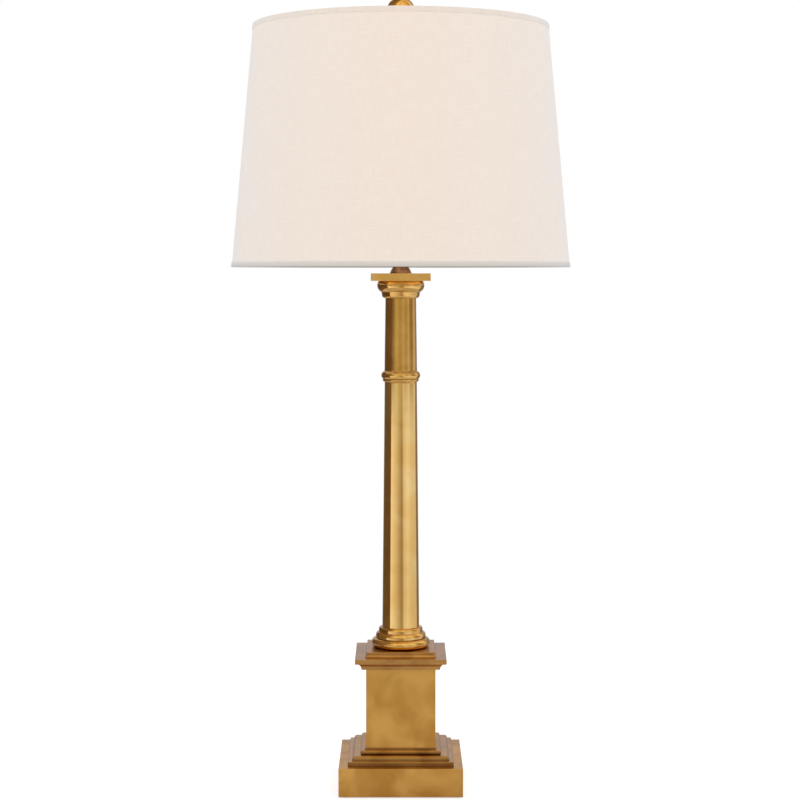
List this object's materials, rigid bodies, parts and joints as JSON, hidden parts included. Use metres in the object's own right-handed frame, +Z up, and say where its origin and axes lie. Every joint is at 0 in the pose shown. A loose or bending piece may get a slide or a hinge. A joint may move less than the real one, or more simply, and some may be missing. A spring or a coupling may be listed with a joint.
{
  "type": "column table lamp",
  "caption": "Table lamp with a turned and tapered brass column on a square stepped pedestal, a harp and a white hardback drum shade.",
  "frame": {"origin": "middle of the felt pad's underside, on the table", "axes": "+Z up along the column; the front faces -Y, the cord bushing faces +Y, the harp lies in the XZ plane"},
  "size_m": [0.3524, 0.3524, 0.8209],
  "materials": {
    "antique_brass": "hand-rubbed satin with darker patina",
    "dark_bronze": "dark bronze patina, satin",
    "plain_brass": "bright dipped",
    "contact_brass": "plain",
    "zinc_steel": "zinc plated",
    "white_steel": "white powder coat",
    "cast_iron": "as cast, painted black",
    "felt": "wool felt",
    "bushing_plastic": "moulded brown nylon",
    "wire_insulation": "twisted insulated pair",
    "fibre_board": "vulcanised fibre",
    "phenolic": "moulded phenolic",
    "frosted_glass": "frosted inside",
    "clear_glass": "clear",
    "tungsten": "drawn wire",
    "white_linen": "plain-weave linen",
    "styrene": "matt sheet"
  },
  "bodies": {
    "lamp": {"felt_pad": "felt", "bottom_cover": "zinc_steel", "cover_screws": "zinc_steel", "plinth": "antique_brass", "base_weight": "cast_iron", "base_washer": "zinc_steel", "base_nut": "zinc_steel", "threaded_pipe": "zinc_steel", "inner_lead": "wire_insulation", "cord_bushing": "bushing_plastic", "base_steps": "antique_brass", "pedestal_die": "antique_brass", "pedestal_cap": "antique_brass", "cap_step": "antique_brass", "column_foot": "antique_brass", "lower_shaft": "antique_brass", "column_ring": "antique_brass", "upper_shaft": "antique_brass", "capital": "antique_brass", "abacus": "antique_brass", "neck_cone": "dark_bronze", "harp_saddle": "zinc_steel", "lock_nut": "zinc_steel", "socket_cap": "plain_brass", "set_screw": "zinc_steel", "socket_shell": "plain_brass", "insulating_sleeve": "fibre_board", "socket_body": "phenolic", "terminal_screws": "contact_brass", "screw_shell": "contact_brass", "centre_contact": "contact_brass"},
    "knob": {"switch_stem": "contact_brass", "switch_knob": "phenolic"},
    "bulb": {"bulb_tip": "contact_brass", "bulb_insulator": "phenolic", "bulb_cap": "plain_brass", "bulb_glass": "frosted_glass", "filament_stem": "clear_glass", "filament": "tungsten"},
    "harp": {"harp": "zinc_steel"},
    "left_sleeve": {"left_sleeve": "zinc_steel"},
    "right_sleeve": {"right_sleeve": "zinc_steel"},
    "stud": {"harp_stud": "zinc_steel"},
    "shade": {"shade_linen": "white_linen", "shade_liner": "styrene", "lower_tape": "white_linen", "upper_tape": "white_linen", "lower_hoop": "white_steel", "upper_hoop": "white_steel", "spider": "white_steel"},
    "finial": {"finial_neck": "antique_brass", "finial_ball": "antique_brass"}
  },
  "joints": [
    {"name": "knob_turn", "type": "hinge", "parent": "lamp", "child": "knob", "pos_m": [0, -0.021, 0.5806], "axis": [0, -1, 0], "continuous": true},
    {"name": "bulb_out", "type": "slide", "parent": "lamp", "child": "bulb", "axis": [0, 0, 1], "range_m": [0, 0.045]},
    {"name": "harp_lift", "type": "slide", "parent": "lamp", "child": "harp", "axis": [0, 0, 1], "range_m": [0, 0.03]},
    {"name": "left_sleeve_slide", "type": "slide", "parent": "harp", "child": "left_sleeve", "axis": [0, 0, 1], "range_m": [0, 0.015]},
    {"name": "right_sleeve_slide", "type": "slide", "parent": "harp", "child": "right_sleeve", "axis": [0, 0, 1], "range_m": [0, 0.015]},
    {"name": "stud_swivel", "type": "hinge", "parent": "harp", "child": "stud", "pos_m": [0, 0, 0.774], "axis": [0, 0, 1], "continuous": true},
    {"name": "shade_lift", "type": "slide", "parent": "stud", "child": "shade", "axis": [0, 0, 1], "range_m": [0, 0.26]},
    {"name": "finial_turn", "type": "hinge", "parent": "shade", "child": "finial", "pos_m": [0, 0, 0.79], "axis": [0, 0, 1], "continuous": true}
  ]
}
